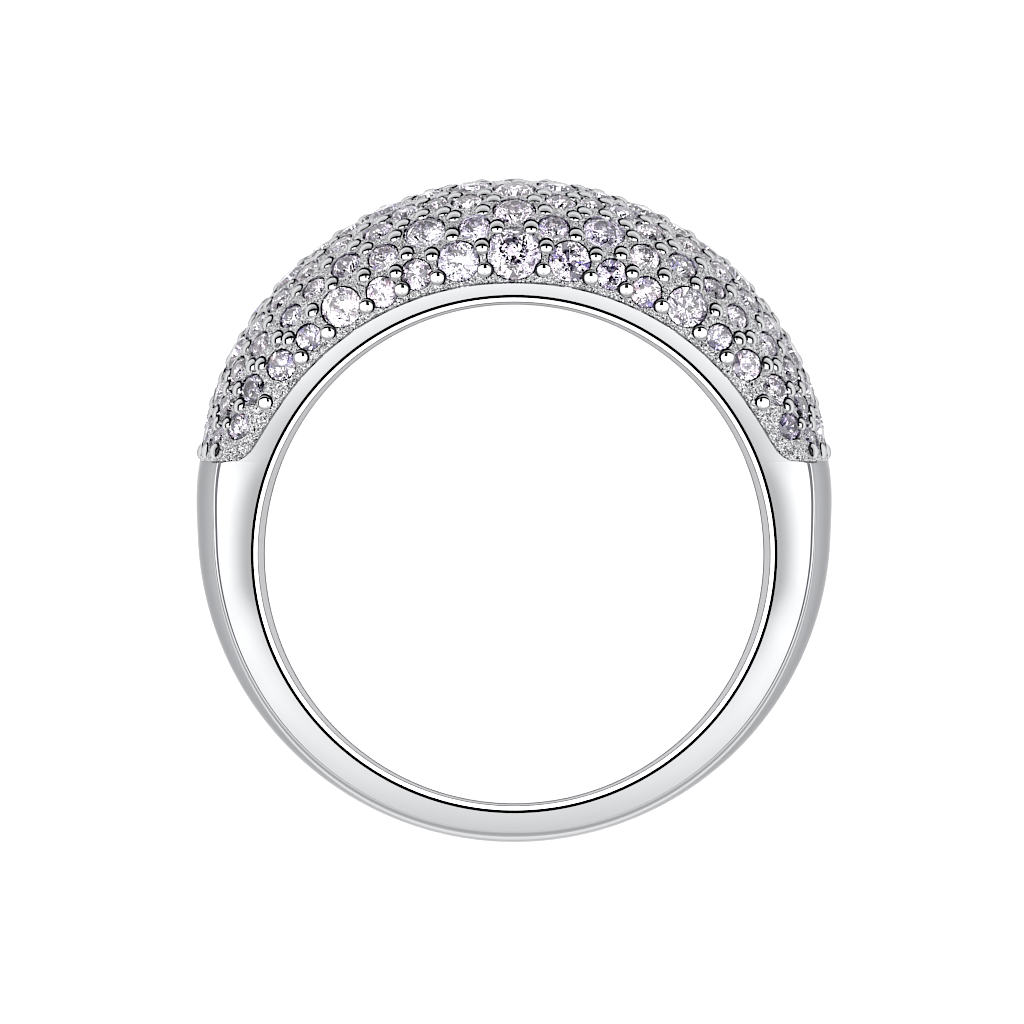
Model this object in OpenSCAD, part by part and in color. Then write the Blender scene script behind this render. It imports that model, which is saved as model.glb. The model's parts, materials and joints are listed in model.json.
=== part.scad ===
// Dome ring: a tapered polished band whose upper part swells into a dome set with small
// round stones. The ring lies on one of its flat sides, as it would on a table. Its
// sections are worked out round the finger's axis with the dome up along +Y, and are
// then tilted so that the lower side is level.

/* [Finger hole] */
// Radius of the finger hole at its narrowest
bore_r = 8.65; // [7.6:0.05:10.2]
// Rounding of the hole's two edges, for comfort
edge_round = 0.37; // [0.25:0.01:0.5]

/* [Shank] */
// Metal between the hole and the outside at the foot of the ring
foot_wall = 1.36; // [1.2:0.02:1.8]
// Metal between the hole and the outside at the sides of the ring
side_wall = 2.3; // [1.9:0.05:2.8]
// Flare of the shank's outside just below the stones
shoulder_flare = 0.15; // [0:0.01:0.25]
// Width of the ring at its foot, along the finger
foot_w = 3; // [2.4:0.1:4.5]
// Rise of the outer face between its two side edges, next to the stones
crown = 0.58; // [0.3:0.02:0.7]
// The same rise at the foot of the ring, where the outer face is nearly flat
foot_crown = 0.06; // [0.02:0.02:0.4]
// Rounding of the side edges at the foot of the ring
foot_corner = 0.32; // [0.2:0.02:0.4]
// Rounding of the side edges next to the stones, where they are crisp
crisp_corner = 0.05; // [0.03:0.01:0.15]

/* [Dome] */
// Metal between the hole and the crest of the dome
dome_wall = 4.32; // [3.6:0.05:5.2]
// Width of the ring at the rails beside the crest, along the finger
dome_w = 9.2; // [8:0.1:11]
// Height of the two ends of the stone bed above the finger's axis
bed_end_h = 3.22; // [2.6:0.05:4]
// Depth of the stone bed below the face of its rails
bed_depth = 0.12; // [0.06:0.01:0.2]

/* [Rails] */
// Width of the polished rail beside the crest
rail_top = 0.38; // [0.3:0.01:0.6]
// Width of the rail towards the ends of the bed
rail_side = 0.64; // [0.5:0.01:0.9]
// Extra width of the rail in the corners of the bed
rail_corner = 0.27; // [0.1:0.01:0.4]

/* [Stones] */
// Diameter of the largest stones
big_d = 1.9; // [1.6:0.05:2.1]
// Diameter of the large stones
large_d = 1.44; // [1.2:0.02:1.6]
// Diameter of the medium stones
medium_d = 1.08; // [0.9:0.01:1.2]
// Diameter of the small stones
small_d = 0.92; // [0.7:0.01:1]
// Width of a stone's table as a share of its diameter
table_share = 0.57; // [0.5:0.01:0.65]
// Height of a stone above its girdle as a share of its diameter
top_share = 0.15; // [0.1:0.01:0.18]
// Depth of a stone below its girdle as a share of its diameter
point_share = 0.43; // [0.38:0.01:0.45]
// Depth of a flat girdle's middle below the metal beside it
girdle_sink = 0.08; // [0.04:0.01:0.15]
// Clearance between a stone and its seat
seat_gap = 0.03; // [0.02:0.005:0.05]
// Least metal left between two stones, and between a stone and a rail
stone_gap = 0.11; // [0.1:0.01:0.2]

/* [Hidden] */

// Fineness: sections along dome and shank, steps from rail to crest, sides of a cut stone
dome_steps = 34;
shank_steps = 34;
bed_steps = 9;
corner_steps = 3;
crown_steps = 7;
stone_sides = 8;
hole_facets = 120;

// Angles at which the rounded edge of the hole has its corners
edge_angles = [25, 55, 90];
// How far the unbored blank reaches inside the hole, and back from the hole's edges
blank_in = 0.4;
blank_back = 0.3;
// Run of the small slope between rail and bed
step_run = 0.04;
// Angle over which the sections turn from radial to level near the ends of the bed
lean_span = 24;
// How early the crown of the outer face fades on its way to the foot: higher is earlier
crown_fade = 1.5;
// Angle below the stones over which the flare of the shank's outside dies away
flare_span = 14;
// Angle that the small wall at each end of the bed takes up
wall_turn = 0.48;
// How suddenly the rail widens in the corners of the bed: higher is more sudden
corner_power = 20;
// Small steps in angle and share that find the outward direction of the bed
probe_a = 1;
probe_share = 0.01;
// How far the cut of a seat reaches above the bed
seat_top = 0.3;
// Radius that stands for the curve of the dome's flank when a stone is sunk into it
flank_curve = 4.2;

// Heights of foot and rail from the finger's axis, and slope of the flat sides between them
foot_y = bore_r + foot_wall;
rim_r = bore_r + edge_round;
rail_y = rim_r + rail_top;
side_slope = (dome_w - foot_w) / 2 / (rail_y + foot_y);
tilt = atan(side_slope);

// The outline of the shank is a circle through the foot and the sides, set above the axis
shank_r = (pow(bore_r + side_wall, 2) / foot_y + foot_y) / 2;
shank_rise = shank_r - foot_y;
// Half the width of that circle at the ends of the bed, and the angle of that place
end_x = sqrt(pow(shank_r, 2) - pow(bed_end_h - shank_rise, 2));
shoulder_a = atan(end_x / bed_end_h);
// The outline of the dome is a circle through the crest that meets the flared shank there
crest_y = bore_r + dome_wall;
dome_end = pow(end_x + shoulder_flare, 2) + pow(bed_end_h, 2);
dome_rise = (pow(crest_y, 2) - dome_end) / (2 * (crest_y - bed_end_h));
dome_r = crest_y - dome_rise;
// Angle from the crest at which the end of the bed crosses the rim of the hole
end_t = acos(bed_end_h / rim_r);

// The stones of one quarter of the dome, from the middle of a flank outwards; the other
// quarters mirror it. Columns: angle from the crest's middle in degrees, place on the
// flank as a share of the way from rail to crest, and diameter.
QUARTER = [
    [0, 0.19, big_d], [10.8, 0.165, large_d], [19.3, 0.15, medium_d],
    [26.8, 0.13, medium_d], [35, 0.2, large_d], [43.5, 0.185, small_d],
    [51, 0.21, medium_d], [58, 0.33, medium_d], [65.2, 0.28, small_d],
    [0, 0.505, large_d], [6.9, 0.385, medium_d], [15.6, 0.44, large_d],
    [23.8, 0.37, medium_d], [30.3, 0.47, medium_d], [37, 0.48, small_d],
    [43.2, 0.44, small_d], [50.5, 0.53, small_d], [56.6, 0.62, medium_d],
    [62.8, 0.55, medium_d], [68.7, 0.5, small_d],
    [0, 0.745, large_d], [7.6, 0.63, medium_d], [12.6, 0.685, small_d],
    [17.8, 0.7, medium_d], [22.9, 0.61, medium_d], [29.6, 0.72, medium_d],
    [36.4, 0.7, medium_d], [42.8, 0.69, medium_d], [48.6, 0.745, medium_d],
    [6.8, 0.85, large_d], [13.6, 0.87, medium_d], [20.6, 0.88, large_d],
    [26.8, 0.87, medium_d], [32.6, 0.9, medium_d], [39.1, 0.885, large_d],
    [46.2, 1, large_d], [54.3, 0.86, large_d], [61.4, 0.8, medium_d],
    [68.2, 0.78, medium_d],
    [0, 1, medium_d], [10.2, 1, medium_d], [16.2, 1, small_d],
    [60.2, 1, medium_d], [66.6, 1, small_d]
];

// Half the ring's width at a height y above the finger's axis
function half_w(y) = foot_w / 2 + side_slope * (y + foot_y);

// Radius of the shank's and the dome's outline at an angle a from the crest
function off_centre_r(r, rise, a) = rise * cos(a) + sqrt(pow(r, 2) - pow(rise * sin(a), 2));
function shank_out(a) = off_centre_r(shank_r, shank_rise, a) + shoulder_flare * flare_left(a);
function dome_out(a) = off_centre_r(dome_r, dome_rise, a);

// Share of the shoulder's flare that is left at an angle a from the crest
function flare_left(a) =
    let (u = max(0, min(1, (a - shoulder_a) / flare_span)))
    1 - u * u * (3 - 2 * u);

// Radius at which the stone bed starts beside its rail
function bed_start(a) =
    let (u = min(1, abs(a) / end_t))
    rim_r + rail_top + (rail_side - rail_top) * u + rail_corner * pow(u, corner_power) + step_run;

// Turns a section near the end of the bed from radial to level
function turned(t, r) =
    let (lean = pow(max(0, 1 - abs(t - end_t) / lean_span), 2))
    t + lean * (acos(min(1, bed_end_h / r)) - end_t);

// A point of the ring from its angle, radius and side: side 1 is on the side plane
function on_ring(a, r, inset, side) =
    [r * sin(a), r * cos(a), (half_w(r * cos(a)) - inset) * side];

// A point on the stone bed: share 0 is beside the rail, 1 on the crest, more is beyond it
function bed(a, share) =
    let (r = bed_start(a) + (dome_out(a) - bed_start(a)) * sin(90 * share))
    on_ring(a, r, bed_depth, cos(90 * share));

// The same point of a leaning section, whose angle depends on the radius found there
function bed_leaning(t, share) =
    let (
        first = norm(flat(bed(t, share))),
        second = norm(flat(bed(turned(t, first), share)))
    )
    bed(turned(t, second), share);
function flat(p) = [p.x, p.y];

// Half sections, from inside the hole to the last point before the crest
function hole_edge(t) = [
    let (a = turned(t, bore_r), r = bore_r - blank_in)
    on_ring(a, r, edge_round + blank_back, 1),
    for (f = edge_angles)
        let (r = bore_r + edge_round * (1 - cos(f)))
        on_ring(turned(t, r), r, edge_round * (1 - sin(f)), 1)
];
function dome_half(t) = concat(
    hole_edge(t),
    [let (r = bed_start(t) - step_run) on_ring(turned(t, r), r, 0, 1)],
    [for (k = [0:bed_steps - 1]) bed_leaning(t, k / bed_steps)]
);
function shank_half(t) =
    let (
        out = shank_out(turned(t, shank_out(t))),
        footward = (t - end_t) / (180 - end_t),
        corner = crisp_corner + (foot_corner - crisp_corner) * footward,
        rise = foot_crown + (crown - foot_crown) * pow((1 + cos(180 * footward)) / 2, crown_fade),
        edge_r = out - rise
    )
    concat(
        hole_edge(t),
        [for (k = [0:corner_steps])
            let (f = 90 * k / corner_steps, r = edge_r - corner * (1 - sin(f)))
            on_ring(turned(t, r), r, corner * (1 - cos(f)), 1)],
        [for (k = [1:crown_steps - 1])
            let (side = 1 - k / crown_steps, r = out - rise * pow(side, 2))
            on_ring(turned(t, r), r, corner, side)]
    );

// Whole sections: the half, its crest and its mirror image
function mirrored(half, crest) = concat(
    half,
    [crest],
    [for (k = [len(half) - 1:-1:0]) [half[k].x, half[k].y, -half[k].z]]
);
function dome_section(t) = mirrored(dome_half(abs(t)), bed_leaning(abs(t), 1));
function shank_section(t) =
    let (a = turned(t, shank_out(t)))
    mirrored(shank_half(t), on_ring(a, shank_out(a), 0, 0));
function left(section) = [for (p = section) [-p.x, p.y, p.z]];

// The blank's sections clockwise from the left end of the bed, over the crest and round the foot
shank_t = [for (k = [0:shank_steps / 2])
    let (first = end_t + wall_turn)
    first + (180 - first) * k / (shank_steps / 2)];
SECTIONS = concat(
    [for (k = [0:dome_steps / 2 - 1]) left(dome_section(end_t * (1 - 2 * k / dome_steps)))],
    [for (k = [0:dome_steps / 2]) dome_section(end_t * 2 * k / dome_steps)],
    [for (t = shank_t) shank_section(t)],
    [for (k = [shank_steps / 2 - 1:-1:0]) left(shank_section(shank_t[k]))]
);

// The resting place: the lower side plane is level at height 0, and the ring is centred
blank = [for (s = SECTIONS) for (p = s) tilted(p)];
blank_y = [for (p = blank) p.y];
rest_shift = [0, -(max(blank_y) + min(blank_y)) / 2, half_w(0) * cos(tilt)];
function tilted(p) = [
    p.x,
    p.y * cos(tilt) - p.z * sin(tilt),
    p.y * sin(tilt) + p.z * cos(tilt)
];
module at_rest() translate(rest_shift) rotate([tilt, 0, 0]) children();

// Stones: outward direction of the bed, and the stones that have room
function unit(v) = v / norm(v);
function bed_normal(a, share) = unit(cross(
    bed(a + probe_a, share) - bed(a - probe_a, share),
    bed(a, share + probe_share) - bed(a, share - probe_share)
));
function apart(p, q, d) = norm(p - q) >= d + stone_gap;
function has_room(s, kept) =
    let (p = bed(s[0], s[1]), d = s[2])
    p.y - bed_end_h >= d / 2 + stone_gap
    && norm(p - bed(s[0], 0)) >= d / 2 + stone_gap / 2
    && (s[0] == 0 || 2 * p.x >= d + stone_gap)
    && (s[1] == 1 || 2 * p.z >= d + stone_gap)
    && len([for (k = kept) if (!apart(p, bed(k[0], k[1]), (d + k[2]) / 2)) k]) == 0;
function with_room(chart, k = 0, kept = []) =
    k == len(chart) ? kept
    : with_room(chart, k + 1, has_room(chart[k], kept) ? concat(kept, [chart[k]]) : kept);
set_quarter = with_room(QUARTER);

// Every stone of one flank as [its middle on the bed, outward direction, diameter]
function flank(side) = [
    for (s = set_quarter) if (side > 0 || s[1] < 1)
        for (way = s[0] == 0 ? [1] : [1, -1])
            let (p = bed(s[0], s[1]), n = bed_normal(s[0], s[1]))
            [[p.x * way, p.y, p.z * side], [n.x * way, n.y, n.z * side], s[2]]
];

// A ring of corners round a stone's axis, at a height above the bed
function corners(stone, height, r, turn = 0) =
    let (u = unit(cross([1, 0, 0], stone[1])), v = cross(stone[1], u))
    [for (k = [0:stone_sides - 1])
        let (f = 360 * (k + turn) / stone_sides)
        stone[0] + stone[1] * height + (u * cos(f) + v * sin(f)) * r];
// Depth of a stone's girdle below the bed: more for a wide one, as the bed curves away
function sink(d) = girdle_sink + pow(d, 2) / 8 / flank_curve;
function cut_stone(stone) =
    let (d = stone[2], low = -sink(d))
    concat(
        corners(stone, low + top_share * d, table_share * d / 2),
        corners(stone, low, d / 2),
        [stone[0] + stone[1] * (low - point_share * d)]
    );
function seat_cut(stone) =
    let (d = stone[2], low = -sink(d), r = d / 2 + seat_gap / cos(180 / stone_sides))
    concat(
        corners(stone, seat_top, r),
        corners(stone, low, r),
        [stone[0] + stone[1] * (low - point_share * d - 2 * seat_gap)]
    );
// Faces of such a body: a flat top, a belt of side faces and a point, the body's number being b
function pointed_faces(b) =
    let (n = stone_sides, base = b * (2 * n + 1))
    concat(
        [[for (k = [n - 1:-1:0]) base + k]],
        [for (k = [0:n - 1]) [base + k, base + (k + 1) % n, base + n + (k + 1) % n, base + n + k]],
        [for (k = [0:n - 1]) [base + n + k, base + n + (k + 1) % n, base + 2 * n]]
    );
module pointed_bodies(list) {
    polyhedron(
        points = [for (body = list) for (p = body) tilted(p) + rest_shift],
        faces = [for (b = [0:len(list) - 1]) for (f = pointed_faces(b)) f]
    );
}

// The casting before boring: sections joined all the way round
module blank_ring() {
    n = len(SECTIONS);
    m = len(SECTIONS[0]);
    polyhedron(
        points = [for (p = blank) p + rest_shift],
        faces = [
            for (s = [0:n - 1])
                for (k = [0:m - 1])
                    let (
                        a = s * m + k,
                        b = s * m + (k + 1) % m,
                        c = ((s + 1) % n) * m + (k + 1) % m,
                        d = ((s + 1) % n) * m + k
                    )
                    for (f = [[a, b, c], [a, c, d]]) f
        ]
    );
}

// One casting: shank, rails and stone bed, bored for the finger and cut with a seat a stone
module band() {
    color([0.86, 0.86, 0.88])
        difference() {
            blank_ring();
            at_rest()
                cylinder(h = 2 * dome_w, r = bore_r, center = true, $fn = hole_facets);
            pointed_bodies([for (s = flank(1)) seat_cut(s)]);
            pointed_bodies([for (s = flank(-1)) seat_cut(s)]);
        }
}

// The stones of the upper flank and of the crest
module pave_stones_front() {
    color([0.93, 0.86, 0.92])
        pointed_bodies([for (s = flank(1)) cut_stone(s)]);
}

// The stones of the lower flank
module pave_stones_back() {
    color([0.9, 0.82, 0.9])
        pointed_bodies([for (s = flank(-1)) cut_stone(s)]);
}

band();
pave_stones_front();
pave_stones_back();
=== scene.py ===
# %% [markdown]
# # Dressing a dome ring
#
# The imported model already holds the ring at its real size: one casting and its stones.
# Here the casting gets a smooth polished skin, the stones get their full brilliant cut, and the
# little balls of metal that hold them are added. Nothing from the imported model is moved.
# We start by loading it.

import json
import math

import bmesh
import bpy
import numpy as np
from mathutils import Matrix, Vector
from mathutils.geometry import delaunay_2d_cdt


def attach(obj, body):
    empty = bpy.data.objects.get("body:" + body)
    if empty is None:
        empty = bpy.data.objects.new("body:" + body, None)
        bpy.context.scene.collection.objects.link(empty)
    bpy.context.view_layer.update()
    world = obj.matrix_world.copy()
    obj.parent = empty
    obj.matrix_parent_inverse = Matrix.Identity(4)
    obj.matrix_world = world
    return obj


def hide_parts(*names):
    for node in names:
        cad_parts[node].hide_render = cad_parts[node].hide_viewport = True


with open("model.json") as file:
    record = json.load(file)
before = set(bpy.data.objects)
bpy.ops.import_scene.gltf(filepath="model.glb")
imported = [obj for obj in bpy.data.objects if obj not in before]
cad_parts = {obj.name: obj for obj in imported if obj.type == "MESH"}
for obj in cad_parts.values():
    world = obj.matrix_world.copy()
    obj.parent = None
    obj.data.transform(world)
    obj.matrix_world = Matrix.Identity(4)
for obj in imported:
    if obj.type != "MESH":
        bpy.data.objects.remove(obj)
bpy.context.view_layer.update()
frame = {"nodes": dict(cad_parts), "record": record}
MM = 0.001
print("packed nodes:", sorted(frame["nodes"]))

# %% [markdown]
# ## Where the finger's axis is
#
# The ring lies on its side. It is wider at the dome than at the foot, so the finger's axis leans
# a little. A jeweller thinks in the ring's own directions: x across, y towards the crest, z along
# the finger. The record's bore mount gives the axis and the middle, so one matrix takes
# every point from the ring's directions in millimetres to the resting place in metres.

# %% The ring's own directions
hole = next(m for m in frame["record"]["mounts"] if m["name"] == "finger_bore")
HOLE_R = hole["dims"]["r_mm"]
finger_axis = Vector(hole["axis"]).normalized()
across = Vector((1, 0, 0))
crestward = finger_axis.cross(across)
RING_TURN = Matrix((
    (across.x, crestward.x, finger_axis.x, 0),
    (across.y, crestward.y, finger_axis.y, 0),
    (across.z, crestward.z, finger_axis.z, 0),
    (0, 0, 0, 1),
))
RING_TO_REST = Matrix.Translation(Vector(hole["pos_m"])) @ RING_TURN @ Matrix.Scale(MM, 4)
REST_TO_RING = RING_TO_REST.inverted()
lean = math.degrees(finger_axis.angle(Vector((0, 0, 1))))
print("hole radius", HOLE_R, "mm, the axis leans", round(lean, 2), "degrees")

# %% [markdown]
# ## The camera
#
# The photograph looks straight along the finger, from so far away that the wall of the hole is hidden
# behind its edge. A parallel camera, which has no vanishing point, gives that view. With the ring
# lying down, it looks from almost overhead. Its width comes from one number: how many pixels a
# millimetre takes in the frame. The small shift puts the hole where the photograph has it.

# %% Camera down the finger's axis
FRAME_PX = 1024
PX_PER_MM = 28.82
HOLE_CENTRE_PX = (514.1, 554)
CAMERA_AWAY = 0.2
camera_data = bpy.data.cameras.new("parallel_camera")
camera_data.type = "ORTHO"
camera_data.ortho_scale = FRAME_PX / PX_PER_MM * MM
camera_data.clip_end = 5
camera_data.shift_x = (FRAME_PX / 2 - HOLE_CENTRE_PX[0]) / FRAME_PX
camera_data.shift_y = (HOLE_CENTRE_PX[1] - FRAME_PX / 2) / FRAME_PX
camera = bpy.data.objects.new("parallel_camera", camera_data)
bpy.context.scene.collection.objects.link(camera)
camera.matrix_world = Matrix.Translation(Vector(hole["pos_m"]) + finger_axis * CAMERA_AWAY) @ RING_TURN
bpy.context.scene.camera = camera
print("the picture is", round(camera_data.ortho_scale / MM, 2), "mm wide")

# %% [markdown]
# ## The form of the casting
#
# The outline seen along the finger is two circles: a large one for the shank, set a little above
# the axis so that the foot is thin, and one for the dome. The shank flares slightly to meet the dome
# where the stones end. Seen from the side the ring is a wedge with flat faces. These sizes, in
# millimetres, say it all, and the functions below turn them into points.

# %% Sizes of the casting
EDGE_ROUND = 0.37
FOOT_WALL, SIDE_WALL, DOME_WALL = 1.36, 2.3, 4.32
SHOULDER_FLARE, FLARE_SPAN = 0.15, 14
FOOT_W, DOME_W = 3.0, 9.2
CROWN, FOOT_CROWN, CROWN_FADE = 0.58, 0.06, 1.5
FOOT_CORNER, CRISP_CORNER = 0.32, 0.05
BED_END_H = 3.22
BED_STEP, STEP_RUN = 0.12, 0.04
RAIL_TOP, RAIL_SIDE, RAIL_CORNER = 0.38, 0.64, 0.27
BED_CORNER, CORNER_TURN = 0.3, 2.2
CORNER_POWER = 20
LEAN_SPAN = 24

foot_y = HOLE_R + FOOT_WALL
rim_r = HOLE_R + EDGE_ROUND
side_slope = (DOME_W - FOOT_W) / 2 / (rim_r + RAIL_TOP + foot_y)
shank_r = ((HOLE_R + SIDE_WALL) ** 2 / foot_y + foot_y) / 2
shank_rise = shank_r - foot_y
crest_y = HOLE_R + DOME_WALL
end_x = math.sqrt(shank_r ** 2 - (BED_END_H - shank_rise) ** 2)
shoulder_a = math.degrees(math.atan2(end_x, BED_END_H))
dome_end = (end_x + SHOULDER_FLARE) ** 2 + BED_END_H ** 2
dome_rise = (crest_y ** 2 - dome_end) / (2 * (crest_y - BED_END_H))
dome_r = crest_y - dome_rise
END_T = math.degrees(math.acos(BED_END_H / rim_r))
print("outlines: shank circle", round(shank_r, 2), "dome circle", round(dome_r, 2), "mm")
print("the stones run", round(END_T, 1), "degrees down each side")


# %% Functions of the form
def sin(a): return math.sin(math.radians(a))
def cos(a): return math.cos(math.radians(a))


def eased(u):
    """A share from 0 to 1 that starts and ends softly."""
    return u * u * (3 - 2 * u)


def half_w(y):
    """Half the ring's width at a height y above the finger's axis."""
    return FOOT_W / 2 + side_slope * (y + foot_y)


def off_centre(r, rise, a):
    """Distance from the axis to a circle of radius r whose middle is rise above the axis."""
    return rise * cos(a) + math.sqrt(r * r - (rise * sin(a)) ** 2)


def shank_out(a):
    """Outline of the shank: a circle, flared a little where it meets the stones."""
    u = max(0, min(1, (a - shoulder_a) / FLARE_SPAN))
    return off_centre(shank_r, shank_rise, a) + SHOULDER_FLARE * (1 - eased(u))


def bed_start(a):
    """Radius at which the bed starts beside its rail; its last corner is a quarter of a circle."""
    u = min(1, abs(a) / END_T)
    into_corner = min(1, max(0, 1 - (END_T - abs(a)) / CORNER_TURN))
    corner = BED_CORNER * (1 - math.sqrt(1 - into_corner ** 2))
    return rim_r + RAIL_TOP + (RAIL_SIDE - RAIL_TOP) * u + RAIL_CORNER * u ** CORNER_POWER + corner + STEP_RUN


def turned(t, r):
    """Turns a section near the end of the bed from radial to level."""
    lean_share = max(0, 1 - abs(t - END_T) / LEAN_SPAN) ** 2
    return t + lean_share * (math.degrees(math.acos(min(1, BED_END_H / r))) - END_T)


def on_ring(a, r, inset, side):
    """A point at angle a and radius r; side 1 is the near flat face, -1 the far one."""
    return (r * sin(a), r * cos(a), (half_w(r * cos(a)) - inset) * side)


def bed(a, share):
    """A point on the stone bed: share 0 is beside the rail, 1 on the crest, 2 beside the other rail."""
    r = bed_start(a) + (off_centre(dome_r, dome_rise, a) - bed_start(a)) * sin(90 * share)
    return on_ring(a, r, BED_STEP, cos(90 * share))


def bed_leaning(t, share):
    """A point on the bed in a section that turns towards level near the end of the stones."""
    first = math.hypot(*bed(t, share)[:2])
    second = math.hypot(*bed(turned(t, first), share)[:2])
    return bed(turned(t, second), share)


def unit(v):
    return v / np.linalg.norm(v)


def bed_normal(a, share):
    along = np.subtract(bed(a + 1, share), bed(a - 1, share))
    over = np.subtract(bed(a, share + 0.01), bed(a, share - 0.01))
    return unit(np.cross(along, over))


def to_rest(points):
    """Ring millimetres to resting metres, many points at once."""
    m = np.array(RING_TO_REST)
    return np.asarray(points, float) @ m[:3, :3].T + m[:3, 3]


print("bed middle", [round(v, 2) for v in bed(0, 1)], "mm")

# %% [markdown]
# ## The skin of the casting
#
# Polished metal shows every facet, so the skin is a fine loft: several hundred sections, each
# with the worked edge of the hole, the flat side, and then either the bed or the shank's crowned
# back. The edge of the hole is the finest work on the casting. From the inside come a lip and a satin
# band, both in a darker tone as painted shade, a fine line painted dark as shade, a bevel painted near
# white as a highlight, and a narrow groove painted black as shade. The flat side leans and bends by a
# few hundredths, as a hand-polished face does, and that is what makes reflections slide over it. A
# crease runs beside the shank's outer face and fades towards the foot; its strip is painted dark as
# shade. Edges that the polisher kept crisp get tiny rounds, because a truly sharp edge never catches
# light.

# %% One half section
SIDE_PTS, STEP_PTS, BED_PTS = 10, 5, 26
CORNER_PTS = 10
BACK_PTS = STEP_PTS + BED_PTS - CORNER_PTS
BED_FIRST, BACK_FIRST = 0.2, 0.7
# Angle from the crest, lean of the side face beside the groove, how fast it bends away outwards
FACE = (
    (0, 0.036, 0.011), (45, 0.036, 0.011), (66, 0.023, 0.011), (76, 0, 0.036), (95, 0, 0.041),
    (107, 0.035, 0.036), (120, 0.053, 0.03), (140, 0.076, 0.022), (165, 0.09, 0.018), (180, 0.09, 0.018),
)
STEP_ROUND, STEP_CLOSER, STEP_CURVE = 0.025, 1.4, 0.9
CREASE_W, CREASE_THIN, CREASE_FADE = 0.1, 0.003, 2
# Radius of the groove's middle from the wall of the hole, and how much nearer it is at crest and foot
GROOVE_AT, CREST_NEARER, FOOT_NEARER, NEARER_POWER = 0.44, 0.145, 0.146, 1.6
GROOVE_HALF, GROOVE_DEEP, GROOVE_EDGE = 0.043, 0.16, 0.006
BEVEL_W, BEVEL_INNER, BEVEL_OUTER = 0.13, 0.1, 0.06
LINE_HALF = 0.015
# The lip in pairs: how far out from the wall of the hole, and how far below the satin band
LIP = ((0, 0.15), (0.005, 0.09), (0.018, 0.035), (0.036, 0))
LIP_SLOPE = 0.1
EDGE_PTS = len(LIP) + 8
# Numbers of the strips of faces, counted from the wall of the hole
LINE, BEVEL_END, GROOVE_END = len(LIP), len(LIP) + 2, len(LIP) + 5


def groove_r(t):
    """Radius of the groove's middle, nearer to the hole at crest and foot."""
    nearer = CREST_NEARER if t < 90 else FOOT_NEARER
    return HOLE_R + GROOVE_AT - nearer * abs(cos(t)) ** NEARER_POWER


def hole_edge(t):
    """From the wall of the hole over its lip, the satin band, the line, the bevel and the groove."""
    groove = groove_r(t)
    inner, outer = groove - GROOVE_HALF, groove + GROOVE_HALF
    line = inner - 2 * GROOVE_EDGE - BEVEL_W - LINE_HALF
    lip_depth = BEVEL_INNER + LIP_SLOPE * (line - HOLE_R - LIP[-1][0])
    edge = [(HOLE_R + out, lip_depth + depth) for out, depth in LIP]
    edge += [(line - LINE_HALF, BEVEL_INNER), (line + LINE_HALF, BEVEL_INNER)]
    edge += [(inner - 2 * GROOVE_EDGE, BEVEL_OUTER), (inner - GROOVE_EDGE, BEVEL_OUTER)]
    edge += [(inner, GROOVE_DEEP), (outer, GROOVE_DEEP)]
    edge += [(outer + GROOVE_EDGE, GROOVE_EDGE), (outer + 2 * GROOVE_EDGE, 0)]
    return [on_ring(turned(t, r), r, depth, 1) for r, depth in edge]


def side_face(t, outer_r):
    """The flat side from the groove to outer_r; its last strip is the crease."""
    first, last = side_start(t), outer_r - crease_w(t)
    radii = [first + (last - first) * k / (SIDE_PTS - 1) for k in range(1, SIDE_PTS)] + [outer_r]
    return [on_ring(turned(t, r), r, face_depth(t, r), 1) for r in radii]


def side_start(t):
    """Radius at which the flat side starts, outside the groove."""
    return groove_r(t) + GROOVE_HALF + 2 * GROOVE_EDGE


def crease_w(t):
    """Width of the crease beside the outer face: widest below the stones, hairline at the foot."""
    footward = max(0, t - END_T) / (180 - END_T)
    return CREASE_THIN + CREASE_W * (1 - footward) ** CREASE_FADE * (t > END_T)


def face_depth(t, r):
    """How far the side face lies below its plane at a radius r."""
    for (t0, *first), (t1, *last) in zip(FACE, FACE[1:]):
        if t0 <= t <= t1:
            share = eased((t - t0) / (t1 - t0))
            lean, bend = (p + (q - p) * share for p, q in zip(first, last))
    x = r - side_start(t)
    return lean * x + bend * x * x


def dome_half(t):
    """Half a section through the dome: hole edge, rail, step down and bed up to the crest."""
    start = bed_start(t)
    points = hole_edge(t) + side_face(t, start - STEP_RUN - STEP_ROUND)
    low = face_depth(t, start - STEP_RUN - STEP_ROUND)
    for k in range(STEP_PTS):
        u = (k + 1) / STEP_PTS
        r = start - (STEP_RUN + STEP_ROUND) * (1 - u) ** STEP_CLOSER
        points.append(on_ring(turned(t, r), r, low + (BED_STEP - low) * u ** STEP_CURVE, 1))
    points += [bed_leaning(t, (k + BED_FIRST) / BED_PTS) for k in range(BED_PTS)]
    return points


def shank_half(t):
    """Half a section through the shank: hole edge, flat side, rounded corner and crowned back."""
    out = shank_out(turned(t, shank_out(t)))
    footward = (max(t, END_T) - END_T) / (180 - END_T)
    corner = CRISP_CORNER + (FOOT_CORNER - CRISP_CORNER) * footward
    rise = FOOT_CROWN + (CROWN - FOOT_CROWN) * ((1 + cos(180 * footward)) / 2) ** CROWN_FADE
    edge_r = out - rise
    low = face_depth(t, edge_r - corner)
    points = hole_edge(t) + side_face(t, edge_r - corner)
    for k in range(CORNER_PTS):
        f = 90 * (k + 1) / CORNER_PTS
        r = edge_r - corner * (1 - sin(f))
        points.append(on_ring(turned(t, r), r, low + corner * (1 - cos(f)), 1))
    for k in range(BACK_PTS):
        side = 1 - (k + BACK_FIRST) / (BACK_PTS + BACK_FIRST)
        r = out - rise * side ** 2
        points.append(on_ring(turned(t, r), r, low + corner, side))
    return points


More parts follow.
